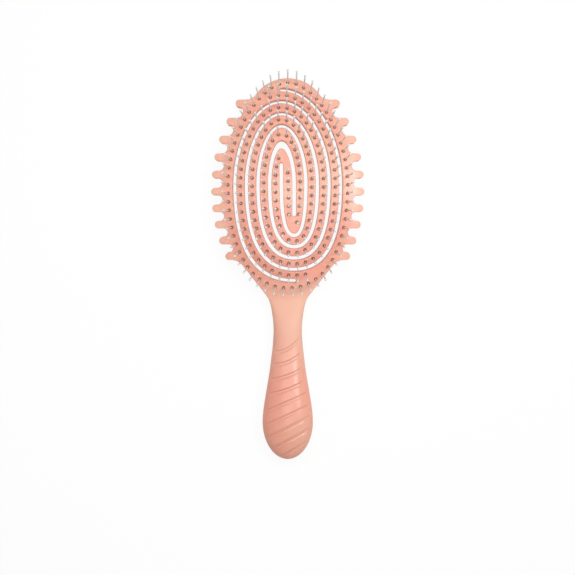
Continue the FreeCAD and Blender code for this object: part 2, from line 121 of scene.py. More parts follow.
# Pins.
PIN_SPACING = 5.27
ROOT_PINS = 2
HOLE_RADIUS = 0.95
HOLE_SIDES = 16
RIM_PINS = (36.9, 63.7)
RIM_TOP_FULLNESS = 0.47
RIM_BOTTOM_FULLNESS = 0.63
BAR_LEAN = 0.2
PIN_SIDES = 12
# Radius and height of the pin's turned profile, from the back layer to the crown of the ball.
PIN_PROFILE = ((0.46, -2.2), (0.45, 0.0), (0.43, 4.0), (0.41, 9.0), (0.39, 11.6), (0.43, 11.85), (0.53, 12.1),
               (0.6, 12.45), (0.58, 12.75), (0.5, 13.05), (0.39, 13.35), (0.34, 13.8), (0.33, 14.9),
               (0.36, 15.4), (0.48, 15.65), (0.63, 15.95), (0.71, 16.28), (0.68, 16.5), (0.57, 16.73),
               (0.39, 16.89), (0.19, 16.98), (0.0, 17.0))

# Handle: reach, half width, height of the middle, half thickness, fullness of the section.
HANDLE = ((65.2, 15.3, 8.16, 1.55, 9.0), (66.8, 14.45, 7.68, 1.76, 9.0), (68.0, 13.62, 7.3, 1.84, 8.0),
          (70.0, 12.35, 6.78, 1.98, 6.5), (72.0, 11.45, 6.33, 2.28, 5.2), (74.0, 10.8, 5.93, 2.73, 4.2),
          (76.0, 10.3, 5.63, 3.28, 3.5), (79.0, 9.7, 5.5, 4.05, 2.9), (83.5, 9.1, 5.8, 4.95, 2.5),
          (90.3, 8.75, 6.1, 5.6, 2.3), (99.6, 9.35, 6.35, 6.05, 2.2), (107.0, 10.25, 6.7, 6.55, 2.15),
          (114.5, 11.2, 7.05, 7.1, 2.1), (121.9, 12.4, 7.4, 7.6, 2.05), (129.3, 13.65, 7.7, 8.05, 2.0),
          (136.8, 14.85, 7.9, 8.35, 2.0), (146.0, 15.6, 8.0, 8.5, 2.0))
HANDLE_END = 169.2
END_STEPS = 80
ALONG_STEP = 0.25
FRONT_STEPS = 120
BACK_STEPS = 60
# Run over which the neck stops following the dome.
SAG_RUN = (68.0, 80.0)
# Parting: reach from which it is flat, and its height there. The seam along it is drawn in a little.
PARTING = (75.5, 4.273)
SEAM_DEPTH = 0.16
SEAM_LEVEL_LIMIT = 0.97

# Grooves across the handle: place in their zone, slope and curl of each.
GROOVE_ZONE = (100.2, 165.9)
GROOVES = ((0.0, 0.55, 0.38), (0.122, 0.42, 0.25), (0.25, 0.37, 0.14), (0.377, 0.36, 0.1), (0.496, 0.44, 0.0),
           (0.622, 0.46, 0.0), (0.74, 0.52, 0.0), (0.861, 0.55, 0.0), (0.979, 0.6, 0.0), (1.078, 0.7, 0.0))
GROOVE_WIDTH = 2.2
GROOVE_DEPTH = 0.5
GROOVE_FADE = 0.8
# In groove widths: start and width of the steep wall, end and width of the slow rise.
STEEP_WALL = (-0.09, 0.18)
SLOW_RISE = (1.15, 0.45)
# Line beside the grooves: distance from the side, depth, width and the run over which it sets in.
GROOVE_BORDER = 1.7
BORDER_DEPTH = 0.4
BORDER_WIDTH = 0.45
BORDER_RUN = (98.0, 110.0)

# Noises: scale and detail.
CLOUDS = (38, 3)
PATCHES = (17, 1)
SMUDGES = (60, 4)
GRAIN = (2600, 2)
NYLON_TONES = (90, 2)
NYLON_STREAKS = (900, 2)
PAPER_TONES = (8, 2)

# Plastic: colours over the clouds, and the share of cream patches.
PINK = ((0.3, (0.82, 0.34, 0.245)), (0.72, (0.86, 0.375, 0.28)))
CREAM = ((0.3, (0.87, 0.45, 0.31)), (0.7, (0.89, 0.48, 0.34)))
# Painted warm light: the lighter, yellower colour laid over the bar, the finger tips, the hips and the neck.
PAINTED_WARM_LIGHT = ((0.3, (0.89, 0.52, 0.38)), (0.7, (0.91, 0.57, 0.43)))
PATCH_SHARE = ((0.48, 0), (0.7, 0.75))
# Painted shade in the hollows and a painted highlight on the edges, over pointiness: hollows lie below one
# half, edges above.
PAINTED_HOLLOW_SHADE_AND_EDGE_HIGHLIGHT = ((0.42, (0.55, 0.22, 0.14)), (0.5, (0, 0, 0)), (0.58, (0.9, 0.55, 0.36)))
PAINTED_HOLLOW_SHADE_AND_EDGE_HIGHLIGHT_SHARE = ((0.44, 0.5), (0.495, 0), (0.505, 0), (0.57, 0.55))
# Over the distance from the head's middle, where the oval of the finger tips is one half.
# Share of the painted warm light.
PAINTED_WARM_LIGHT_SHARE = ((0.0, 0.5), (0.1, 0), (0.39, 0), (0.46, 0.4), (0.5, 0.5), (0.6, 0.42), (0.86, 0))
# Painted shade: the neck and the handle darker than the head.
NECK_AND_HANDLE_PAINTED_SHADE = ((0.46, (1, 1, 1)), (0.52, (0.88, 0.9, 0.9)), (0.62, (0.88, 0.9, 0.9)), (0.86, (0.92, 0.91, 0.91)))
MATT_SHARE = ((0.44, 0), (0.5, 1), (0.63, 1), (0.76, 0))
MATT_ROUGHNESS = 0.3
PLASTIC_ROUGHNESS = (0.18, 0.25)
GRAIN_STRENGTH = 0.05
GRAIN_HEIGHT = 0.0001
PLASTIC = {"IOR": 1.47, "Specular IOR Level": 0.42, "Subsurface Weight": 0.12,
           "Subsurface Radius": (1.0, 0.45, 0.3), "Subsurface Scale": 0.0012}

# Nylon of the pins.
NYLON_TONE = ((0.3, 0.6), (0.7, 0.68))
NYLON_ROUGHNESS = (0.25, 0.38)
NYLON = {"IOR": 1.53, "Subsurface Weight": 0.3,
         "Subsurface Radius": (1.0, 1.0, 1.0), "Subsurface Scale": 0.001}

# Stage, in metres and watts. Lamps: place, target, width, depth and power.
FLOOR_HALF = 3
FLOOR_DROP = 0.0002
PAPER_TONE = ((0.0, 0.93), (1.0, 0.95))
PAPER_ROUGHNESS = 0.9
SEEN_SHARE = 0.92
SEEN_STRENGTH = 1.0
SKY_STRENGTH = 0.39
WHITE = (1, 1, 1, 1)
LAMPS = {"overhead": ((0.02, 0.09, 0.35), (0, 0.07, 0), 0.36, 0.36, 1.0),
         "strip": ((0.6, 0.19, 1.0), (0, -0.06, 0), 0.42, 0.28, 3.2)}
CAMERA_ACROSS = -0.00015
CAMERA_REACH = 63.3
CAMERA_HEIGHT = 1.217
SENSOR_WIDTH = 36
LENS = 122.6
CLIP_START = 0.05


def clamp(share):
    return max(0, min(1, share))


def ease(share):
    return share * share * (3 - 2 * share)


def on_dome(x, reach, radius):
    """Place over a plan position, carried along the dome's radius, in metres."""
    from_axis = reach + APEX_OFFSET
    rise = math.sqrt(RADIUS ** 2 - x ** 2 - from_axis ** 2)
    share = radius / RADIUS
    return Vector((x * share, HEAD_Y - APEX_OFFSET + from_axis * share, CENTRE_Z + rise * share)) * MM


def curve_points(poles, steps):
    """Points along a cubic curve with four poles."""
    points = []
    for step in range(steps + 1):
        t = step / steps
        weights = ((1 - t) ** 3, 3 * t * (1 - t) ** 2, 3 * t * t * (1 - t), t ** 3)
        points.append((sum(w * p[0] for w, p in zip(weights, poles)),
                       sum(w * p[1] for w, p in zip(weights, poles))))
    return points


def quarter_points(side, apex, share, steps=CURVE_STEPS):
    """Quarter turn between a side point and a top or bottom point."""
    return curve_points((side, (side[0], side[1] + share * (apex[1] - side[1])),
                         (apex[0] + share * (side[0] - apex[0]), apex[1]), apex), steps)


def fullness(apex):
    return TOP_FULLNESS if apex[1] > 0 else BOTTOM_FULLNESS


def middle_of(first, second):
    return ((first[0] + second[0]) / 2, (first[1] + second[1]) / 2)


def half_round(first, last, outward, steps=END_ROUND_STEPS):
    """Half turn from one place to another, out to one side."""
    centre = middle_of(first, last)
    radius = math.dist(first, last) / 2
    places = []
    for index in range(steps + 1):
        across = math.cos(math.pi * index / steps)
        out = radius * math.sin(math.pi * index / steps)
        places.append((centre[0] + across * (first[0] - centre[0]) + out * outward[0],
                       centre[1] + across * (first[1] - centre[1]) + out * outward[1]))
    return places


def arc_points(centre, radius, start, end, steps):
    return [(centre[0] + radius * math.cos(start + (end - start) * i / steps),
             centre[1] + radius * math.sin(start + (end - start) * i / steps)) for i in range(steps + 1)]


def apex_at(turn, index, edge):
    """Top or bottom point of a slot; edge -1, 0 or 1 is its inner edge, middle or outer edge."""
    top = turn * (-1) ** index > 0
    core = CORE_REACH_TOP if top else CORE_REACH_BOTTOM
    reach = SPIRAL_HALF_LENGTH - index * (SPIRAL_HALF_LENGTH - core) / HALF_TURNS
    width = SLOT_WIDTH
    if top and index == HALF_TURNS:
        reach -= CORE_DROP
        width = CORE_SLOT_WIDTH
    reach += edge * width / 2
    return (-SPIRAL_SHIFT, reach) if top else (SPIRAL_SHIFT, -reach)


def side_at(turn, index, edge):
    """Right or left point of a slot, level with the spiral's middle."""
    right = turn * (-1) ** index > 0
    across = SPIRAL_HALF_WIDTH - index * (SPIRAL_HALF_WIDTH - CORE_HALF_WIDTH) / HALF_TURNS
    across += edge * SLOT_WIDTH / 2
    return (across, 0) if right else (-across, 0)


def slot_outline(turn):
    """One closed slot: outer edge, round end, inner edge and round start."""
    sides = []
    for edge in (1, -1):
        points = []
        for index in range(HALF_TURNS + 1):
            apex = apex_at(turn, index, edge)
            side = side_at(turn, index, edge)
            points += quarter_points(side, apex, fullness(apex))[:0:-1]
            if index < HALF_TURNS:
                following = apex_at(turn, index + 1, edge)
                points += quarter_points(side, following, fullness(following))[:-1]
        points.append(side)
        sides.append(points)
    outer, inner = sides
    end = SLOT_END_BOTTOM if turn > 0 else SLOT_END_TOP
    end_round = half_round((outer[-1][0], -turn * end), (inner[-1][0], -turn * end), (0, -turn))
    start_round = half_round(inner[0], outer[0], (-turn, 0))
    return outer + end_round + inner[::-1] + start_round[1:-1]


def finger_reach(index):
    """Reach of a comb finger's middle."""
    return FIRST_FINGER - FINGER_PITCH * index + PITCH_DROP * index * (index - 1) / 2


def oval(sizes, reach):
    """Half width of an oval at a reach."""
    return sizes[0] * math.sqrt(1 - ((reach + OVAL_OFFSET) / sizes[1]) ** 2)


def round_corner(before, at, after, radius, steps=CORNER_STEPS):
    """Arc that rounds a corner."""
    to_before = (Vector(before) - Vector(at)).normalized()
    to_after = (Vector(after) - Vector(at)).normalized()
    half_angle = to_before.angle(to_after) / 2
    centre = Vector(at) + (to_before + to_after).normalized() * (radius / math.sin(half_angle))
    first = Vector(at) + to_before * (radius / math.tan(half_angle)) - centre
    last = Vector(at) + to_after * (radius / math.tan(half_angle)) - centre
    turn = math.atan2(first.x * last.y - first.y * last.x, first.dot(last))
    start = math.atan2(first.y, first.x)
    return arc_points(tuple(centre), radius, start, start + turn, steps)


def outline_side():
    """Right side of the head from the crown to the tail."""
    half = FINGER_WIDTH / 2
    crown_centre = CROWN_REACH - CROWN_RADIUS
    edge_reach = finger_reach(0) + half
    rise = edge_reach + SHOULDER_RADIUS - crown_centre
    shoulder_x = math.sqrt((CROWN_RADIUS + SHOULDER_RADIUS) ** 2 - rise ** 2)
    lean = math.atan2(rise, shoulder_x)
    points = arc_points((0, crown_centre), CROWN_RADIUS, math.pi / 2, lean, CROWN_STEPS)
    points += arc_points((shoulder_x, edge_reach + SHOULDER_RADIUS), SHOULDER_RADIUS,
                         math.pi + lean, 1.5 * math.pi, SHOULDER_STEPS)[1:]
    for index in range(FINGERS):
        reach = finger_reach(index)
        tip = oval(TIP_OVAL, reach) + (FIRST_TIP_EXTRA if index == 0 else 0)
        points += half_round((tip - half, reach + half), (tip - half, reach - half), (1, 0))
        if index < FINGERS - 1:
            below = finger_reach(index + 1) + half
            above = reach - half
            gap = (above - below) / 2
            root = oval(ROOT_OVAL, below + gap)
            upper = min(root + gap, tip - half)
            lower = min(root + gap, oval(TIP_OVAL, finger_reach(index + 1)) - half)
            handle = ((upper + lower) / 2 - root) * BEND_HANDLE
            points += curve_points(((upper, above), (upper - handle, above),
                                    (lower - handle, below), (lower, below)), GAP_STEPS)
    here = points[-1]
    hip = (HIP[0], here[1])
    throat = (THROAT[0], -THROAT[1])
    tail = (TAIL[0], -TAIL[1])
    points += round_corner(here, hip, throat, HIP[1])
    points += round_corner(hip, throat, tail, THROAT[2])
    points.append(tail)
    clean = points[:1]
    for point in points[1:]:
        if math.dist(point, clean[-1]) > SAME_POINT:
            clean.append(point)
    return clean


def head_outline():
    right = outline_side()
    return right + [(-x, y) for x, y in right[:0:-1]]


def arm_middle(turn, ring):
    """Start, side and end of an arm's middle line over one half-turn."""
    start = middle_of(apex_at(turn, ring - 1, -1), apex_at(-turn, ring, 1))
    side = middle_of(side_at(turn, ring - 1, -1), side_at(-turn, ring, 1))
    if ring < HALF_TURNS:
        return start, side, middle_of(apex_at(turn, ring, -1), apex_at(-turn, ring + 1, 1))
    end = SLOT_END_BOTTOM if turn < 0 else SLOT_END_TOP
    cap = (side_at(-turn, HALF_TURNS, 0)[0], turn * (end + SLOT_WIDTH / 2))
    return start, side, middle_of(apex_at(turn, ring, -1), cap)


def places_along(points, distances):
    """Places at the given distances along a line of points."""
    found = []
    travelled = 0
    wanted = list(distances)
    for here, there in zip(points, points[1:]):
        step = math.dist(here, there)
        while wanted and wanted[0] <= travelled + step:
            share = (wanted.pop(0) - travelled) / step
            found.append((here[0] + share * (there[0] - here[0]), here[1] + share * (there[1] - here[1])))
        travelled += step
    return found


def run_length(points):
    return sum(math.dist(here, there) for here, there in zip(points, points[1:]))


def arm_places(turn, ring):
    """Pins along one half-turn of an arm."""
    start, side, end = arm_middle(turn, ring)
    points = quarter_points(side, start, fullness(start), ROW_STEPS)[::-1]
    points += quarter_points(side, end, fullness(end), ROW_STEPS)[1:]
    length = run_length(points)
    lead = SPIRAL_SHIFT - CUT_SHIFT
    count = round(length / PIN_SPACING)
    if ring < HALF_TURNS:
        step = length / count
        return places_along(points, [lead + (index + 0.5) * step for index in range(count)])
    first = lead + PIN_SPACING / 2
    step = (length - first) / (count - 0.5)
    return places_along(points, [first + index * step for index in range(count)])


def bar_places():
    """Pins along the bar between the arms."""
    run = [(0, SLOT_END_TOP - PIN_SPACING / 2), (BAR_LEAN * SPIRAL_SHIFT, -SLOT_END_BOTTOM - PIN_SPACING / 2)]
    count = round(run_length(run) / PIN_SPACING)
    step = run_length(run) / count
    return places_along(run, [(index + 0.5) * step for index in range(count)])


def root_places(turn):
    """Pins on the rim where an arm leaves it."""
    start, side, _ = arm_middle(turn, 1)
    points = [(2 * start[0] - x, y) for x, y in quarter_points(side, start, fullness(start), ROW_STEPS)[::-1]]
    lead = SPIRAL_SHIFT - CUT_SHIFT
    return places_along(points, [(index + 0.5) * PIN_SPACING - lead for index in range(ROOT_PINS)])


def rim_places():
    """Pins in a row round the rim."""
    across, top = RIM_PINS
    points = quarter_points((across, 0), (0, top), RIM_TOP_FULLNESS, ROW_STEPS)[::-1]
    points += quarter_points((across, 0), (0, -top), RIM_BOTTOM_FULLNESS, ROW_STEPS)[1:]
    points += [(-x, y) for x, y in points[-2::-1]]
    count = round(run_length(points) / PIN_SPACING)
    step = run_length(points) / count
    return places_along(points, [index * step for index in range(count)])


# Where each piece of the head is, its pins, and the bodies on either side of each half-turn.
ARMS = ((1, "a"), (-1, "b"))
CHAIN = ("frame", "turn_1", "turn_2", "turn_3", "centre")
head_pieces = {"rim": {"seed": (RIM_PINS[0], 0), "pins": rim_places() + root_places(1) + root_places(-1)}}
for turn, arm in ARMS:
    for ring in range(1, HALF_TURNS + 1):
        start, side, end = arm_middle(turn, ring)
        head_pieces["%s%d" % (arm, ring)] = {
            "seed": side, "pins": arm_places(turn, ring), "from": CHAIN[ring - 1], "to": CHAIN[ring],
            "start": start[1], "end": end[1], "arm": arm, "ring": ring}
head_pieces["bar"] = {"seed": (0, 0), "pins": bar_places()}


def stands_for(key, layer):
    """Node that a piece of a plate stands for."""
    if key == "rim":
        return "%s_shell" % layer
    if key == "bar" or head_pieces[key]["ring"] == HALF_TURNS:
        return "centre_%s" % layer
    return "arm_%s_%s_%d" % (head_pieces[key]["arm"], layer, head_pieces[key]["ring"])


def pins_stand_for(key):
    """Node that the pins of a piece stand for."""
    if key == "rim":
        return "rim_pins"
    if key == "bar" or head_pieces[key]["ring"] == HALF_TURNS:
        return "centre_pins"
    return "turn_pins_%d" % head_pieces[key]["ring"]


def place(piece, key):
    """The rim and the bar ride on a body, each half-turn is baked where it stands."""
    if key == "rim":
        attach(piece, "frame")
    elif key == "bar":
        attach(piece, "centre")
    else:
        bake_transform(piece)


def new_object(name, mesh, material):
    """Object with smooth shading and one material."""
    made = bpy.data.objects.new(name, mesh)
    scene.collection.objects.link(made)
    mesh.materials.clear()
    mesh.materials.append(material)
    mesh.polygons.foreach_set("use_smooth", [True] * len(mesh.polygons))
    return made


def flat_plate(name, thickness, rounding, holes):
    """The whole slotted plate in plan, with rounded edges, as a mesh in millimetres."""
    curve = bpy.data.curves.new(name, "CURVE")
    curve.dimensions = "2D"
    curve.fill_mode = "BOTH"
    curve.extrude = thickness / 2 - rounding
    curve.bevel_depth = rounding
    curve.bevel_resolution = ROUND_STEPS
    curve.offset = -rounding
    loops = [head_outline(), slot_outline(1), slot_outline(-1)]
    loops += [arc_points(at, HOLE_RADIUS, 0, 2 * math.pi, HOLE_SIDES)[:-1] for at in holes]
    for loop in loops:
        spline = curve.splines.new("POLY")
        spline.points.add(len(loop) - 1)
        for point, (x, y) in zip(spline.points, loop):
            point.co = (x, y, 0, 1)
        spline.use_cyclic_u = True
    holder = bpy.data.objects.new(name, curve)
    scene.collection.objects.link(holder)
    bpy.context.view_layer.update()
    mesh = bpy.data.meshes.new_from_object(holder.evaluated_get(bpy.context.evaluated_depsgraph_get()))
    bpy.data.objects.remove(holder)
    return mesh


def cut_lines(bm, x, low, high):
    """Splits the plate along a line across an arm."""
    faces = [f for f in bm.faces if all(low < v.co.y < high and abs(v.co.x - x) < CUT_REACH for v in f.verts)]
    geometry = dict.fromkeys(faces)
    for face in faces:
        geometry.update(dict.fromkeys(face.edges))
        geometry.update(dict.fromkeys(face.verts))
    cut = bmesh.ops.bisect_plane(bm, geom=list(geometry), dist=ON_CUT, plane_co=(x, 0, 0), plane_no=(1, 0, 0))
    edges = [e for e in cut["geom_cut"] if isinstance(e, bmesh.types.BMEdge)]
    bmesh.ops.split_edges(bm, edges=edges)


def components(bm):
    """Groups of joined faces, in the same order each time."""
    left = dict.fromkeys(bm.faces)
    while left:
        found = [next(iter(left))]
        del left[found[0]]
        for face in found:
            for edge in face.edges:
                for other in edge.link_faces:
                    if other in left:
                        del left[other]
                        found.append(other)
        yield found


def plate_pieces(layer, thickness, rounding, outer_radius, holes, material):
    """One layer of the head, cut across the arms into pieces and laid on the dome."""
    bm = bmesh.new()
    bm.from_mesh(flat_plate("plate_%s" % layer, thickness, rounding, holes))
    bmesh.ops.remove_doubles(bm, verts=bm.verts, dist=SAME_VERTEX)
    for _ in range(SPLIT_ROUNDS):
        long = [e for e in bm.edges
                if e.calc_length() > LONG_EDGE and abs(e.verts[0].co.z - e.verts[1].co.z) < SAME_VERTEX]
        bmesh.ops.subdivide_edges(bm, edges=long, cuts=1)
        bmesh.ops.triangulate(bm, faces=[f for f in bm.faces if len(f.verts) > 4])
    top = apex_at(1, HALF_TURNS, 0)[1]
    bottom = apex_at(-1, HALF_TURNS, 0)[1]
    cut_lines(bm, -CUT_SHIFT, top, SPIRAL_HALF_LENGTH)
    cut_lines(bm, CUT_SHIFT, -SPIRAL_HALF_LENGTH, bottom)
    cut_lines(bm, -CORE_HALF_WIDTH, SLOT_END_TOP, top)
    cut_lines(bm, CORE_HALF_WIDTH, bottom, -SLOT_END_BOTTOM)
    groups = list(components(bm))
    made = {}
    for group in groups:
        centres = [f.calc_center_median() for f in group if abs(f.normal.z) > FLAT_SHARE]
        gap = {key: min((math.dist(info["seed"], (c.x, c.y)) for c in centres), default=math.inf)
               for key, info in head_pieces.items()}
        key = min(gap, key=gap.get)
        made.setdefault(key, []).extend(group)
    for key, group in made.items():
        numbers = {}
        vertices = []
        faces = []
        for face in group:
            row = []
            for vertex in face.verts:
                if vertex not in numbers:
                    numbers[vertex] = len(vertices)
                    x, y, z = vertex.co
                    vertices.append(on_dome(x, y, outer_radius - thickness / 2 + z))
                row.append(numbers[vertex])
            faces.append(row)
        mesh = bpy.data.meshes.new("%s_%s" % (key, layer))
        mesh.from_pydata(vertices, [], faces)
        piece = new_object("%s_%s" % (layer, key), mesh, material)
        weighted = piece.modifiers.new("even_shading", "WEIGHTED_NORMAL")
        weighted.mode = "FACE_AREA"
        weighted.weight = LARGE_FACE_WEIGHT
        bpy.context.view_layer.update()
        evaluated = piece.evaluated_get(bpy.context.evaluated_depsgraph_get())
        piece.data = bpy.data.meshes.new_from_object(evaluated)
        piece.modifiers.clear()
        place(piece, key)
        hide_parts(stands_for(key, layer))
    bm.free()


def pin_pieces(material):
    """Turned pins, one mesh of them for each piece of the head."""
    for key, info in head_pieces.items():
        vertices = []
        faces = []
        for x, reach in info["pins"]:
            foot = on_dome(x, reach, RADIUS)
            out = (foot - Vector((0, HEAD_Y - APEX_OFFSET, CENTRE_Z)) * MM).normalized()
            across = out.cross(Vector((0, 1, 0))).normalized()
            along = out.cross(across)
            first = len(vertices)
            for radius, height in PIN_PROFILE[:-1]:
                for side in range(PIN_SIDES):
                    turn = 2 * math.pi * side / PIN_SIDES
                    ring = across * math.cos(turn) + along * math.sin(turn)
                    vertices.append(foot + (out * height + ring * radius) * MM)
            vertices.append(foot + out * PIN_PROFILE[-1][1] * MM)
            rows = len(PIN_PROFILE) - 1
            for row in range(rows - 1):
                for side in range(PIN_SIDES):
                    after = (side + 1) % PIN_SIDES
                    low = first + row * PIN_SIDES
                    faces.append((low + side, low + side + PIN_SIDES, low + after + PIN_SIDES, low + after))
            last = first + (rows - 1) * PIN_SIDES
            for side in range(PIN_SIDES):
                faces.append((last + side, len(vertices) - 1, last + (side + 1) % PIN_SIDES))
        mesh = bpy.data.meshes.new("pins_%s" % key)
        mesh.from_pydata(vertices, [], faces)
        mesh.flip_normals()
        piece = new_object("pins_%s" % key, mesh, material)
        place(piece, key)
        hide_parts(pins_stand_for(key))


def smooth_between(rows, reach):
    """Smooth run through the handle's sections."""
    for index in range(len(rows) - 1):
        if reach <= rows[index + 1][0] or index == len(rows) - 2:
            break
    before, low, high, after = (rows[max(index - 1, 0)], rows[index], rows[index + 1],
                                rows[min(index + 2, len(rows) - 1)])
    span = high[0] - low[0]
    t = (reach - low[0]) / span
    values = []
    for k in range(1, 5):
        leave = (high[k] - before[k]) / (high[0] - before[0]) * span
        if after is high:
            arrive = 0
        else:
            arrive = (after[k] - low[k]) / (after[0] - low[0]) * span
        values.append((2 * t ** 3 - 3 * t ** 2 + 1) * low[k] + (t ** 3 - 2 * t ** 2 + t) * leave
                      + (3 * t ** 2 - 2 * t ** 3) * high[k] + (t ** 3 - t ** 2) * arrive)
    return values


def handle_rows():
    """Reach, half width, middle, half thickness and fullness of each ring of the handle."""
    bulb = HANDLE[-1]
    rows = []
    reach = HANDLE[0][0]
    while reach < bulb[0] - ALONG_STEP / 2:
        rows.append((reach, *smooth_between(HANDLE, reach)))
        reach += ALONG_STEP
    for step in range(END_STEPS):
        turn = math.pi / 2 * step / END_STEPS
        shrink = math.cos(turn)
        rows.append((bulb[0] + (HANDLE_END - bulb[0]) * math.sin(turn), bulb[1] * shrink, bulb[2],
                     bulb[3] * shrink, bulb[4]))
    return rows


def groove_depth(x, reach, half_width):
    """How deep the grooves are at a place on the handle's front."""
    depth = 0
    clear = half_width - GROOVE_BORDER - abs(x)
    run = clamp((reach - BORDER_RUN[0]) / (BORDER_RUN[1] - BORDER_RUN[0]))
    border = BORDER_DEPTH * run * math.exp(-(clear / BORDER_WIDTH) ** 2)
    if clear <= 0:
        return border
    fade = min(1, clear / GROOVE_FADE)
    for share, slope, curl in GROOVES:
        start = GROOVE_ZONE[0] + share * (GROOVE_ZONE[1] - GROOVE_ZONE[0])
        line = start - (slope * x + curl * x * x / half_width)
        past = (reach - line) / GROOVE_WIDTH
        wall = min((past - STEEP_WALL[0]) / STEEP_WALL[1], (SLOW_RISE[0] - past) / SLOW_RISE[1], 1)
        if wall > 0:
            depth = max(depth, ease(wall))
    return max(border, depth * fade * GROOVE_DEPTH)


def seam_height(reach):
    """Height of the parting between front and back: along the dome, then flat."""
    if reach > PARTING[0]:
        return PARTING[1]
    return CENTRE_Z + math.sqrt((RADIUS - FRONT_LAYER) ** 2 - (reach - APEX_OFFSET) ** 2)


def dome_share(reach):
    """How far the neck's section still follows the dome: fully at the head, no more down the neck."""
    return 1 - ease(clamp((reach - SAG_RUN[0]) / (SAG_RUN[1] - SAG_RUN[0])))


def handle_piece(name, front, steps, node, material):
    """Front or back half of the handle, from seam to seam, drawn in a little along the seam."""
    vertices = []
    faces = []
    rows = handle_rows()
    for reach, half_width, middle, half_thickness, power in rows:
        level = (seam_height(reach) - middle) / half_thickness
        level = max(-SEAM_LEVEL_LIMIT, min(SEAM_LEVEL_LIMIT, level))
        edge = math.asin(math.copysign(abs(level) ** (power / 2), level))
        if front:
            start, end = edge, math.pi - edge
        else:
            start, end = math.pi - edge, 2 * math.pi + edge
        for step in range(steps + 1):
            turn = start + (end - start) * step / steps
            cos, sin = math.cos(turn), math.sin(turn)
            x = half_width * math.copysign(abs(cos) ** (2 / power), cos)
            z = middle + half_thickness * math.copysign(abs(sin) ** (2 / power), sin)
            if front:
                z -= groove_depth(x, reach, half_width) * max(0, sin)
            drawn_in = dome_share(reach) * (middle + half_thickness - z) / RADIUS
            x -= x * drawn_in
            along = reach - (reach - APEX_OFFSET) * drawn_in
            z -= dome_share(reach) * x * x / (2 * RADIUS)
            inset = SEAM_DEPTH if step in (0, steps) else 0
            x -= math.copysign(min(inset, abs(x)), x)
            vertices.append(Vector((x, HEAD_Y - along, max(z, 0))) * MM)
    for row in range(len(rows) - 1):
        for step in range(steps):
            low = row * (steps + 1) + step
            faces.append((low, low + steps + 1, low + steps + 2, low + 1))
    vertices.append(Vector((0, HEAD_Y - HANDLE_END, rows[-1][2])) * MM)
    last = (len(rows) - 1) * (steps + 1)
    for step in range(steps):
        faces.append((last + step, len(vertices) - 1, last + step + 1))
    mesh = bpy.data.meshes.new(name)
    mesh.from_pydata(vertices, [], faces)
    mesh.flip_normals()
    piece = new_object(name, mesh, material)
    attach(piece, "frame")
    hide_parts(node)


def node_tree(name):
    material = bpy.data.materials.new(name)
    material.use_nodes = True
    tree = material.node_tree
    return material, tree, tree.nodes["Principled BSDF"]


def noise(tree, scale, detail, coordinates):
    made = tree.nodes.new("ShaderNodeTexNoise")
    made.inputs["Scale"].default_value = scale
    made.inputs["Detail"].default_value = detail
    tree.links.new(coordinates, made.inputs["Vector"])
    return made


def ramp(tree, source, stops):
    made = tree.nodes.new("ShaderNodeValToRGB")
    elements = made.color_ramp.elements
    for index, (position, colour) in enumerate(stops):
        element = elements[index] if index < 2 else elements.new(position)
        element.position = position
        element.color = (*colour, 1)
    tree.links.new(source, made.inputs["Fac"])
    return made


def mix(tree, factor, first, second):
    """Blends two colours, through the node's sockets for colours."""
    made = tree.nodes.new("ShaderNodeMix")
    made.data_type = "RGBA"
    tree.links.new(factor, made.inputs[0])
    tree.links.new(first, made.inputs[6])
    tree.links.new(second, made.inputs[7])
    return made.outputs[2]


def grey_ramp(tree, source, stops):
    return ramp(tree, source, [(position, (level, level, level)) for position, level in stops])


def between(tree, source, limits):
    """Noise spread between two limits."""
    made = tree.nodes.new("ShaderNodeMapRange")
    made.inputs["To Min"].default_value = limits[0]
    made.inputs["To Max"].default_value = limits[1]
    tree.links.new(source.outputs["Fac"], made.inputs["Value"])
    return made.outputs["Result"]


def background_rays(tree):
    """One for rays that see the background straight or in a reflection."""
    path = tree.nodes.new("ShaderNodeLightPath")
    larger = tree.nodes.new("ShaderNodeMath")
    larger.operation = "MAXIMUM"
    tree.links.new(path.outputs["Is Camera Ray"], larger.inputs[0])
    tree.links.new(path.outputs["Is Glossy Ray"], larger.inputs[1])
    return larger.outputs["Value"]


def distance_from_head(tree, where):
    """Distance from the head's middle, one half on the oval of the finger tips."""
    oval_place = tree.nodes.new("ShaderNodeMapping")
    oval_place.vector_type = "TEXTURE"
    oval_place.inputs["Location"].default_value = (0, (HEAD_Y - OVAL_OFFSET) * MM, 0)
    oval_place.inputs["Scale"].default_value = (2 * TIP_OVAL[0] * MM, 2 * TIP_OVAL[1] * MM, 1)
    tree.links.new(where, oval_place.inputs["Vector"])
    outward = tree.nodes.new("ShaderNodeVectorMath")
    outward.operation = "LENGTH"
    tree.links.new(oval_place.outputs["Vector"], outward.inputs[0])
    return outward.outputs["Value"]


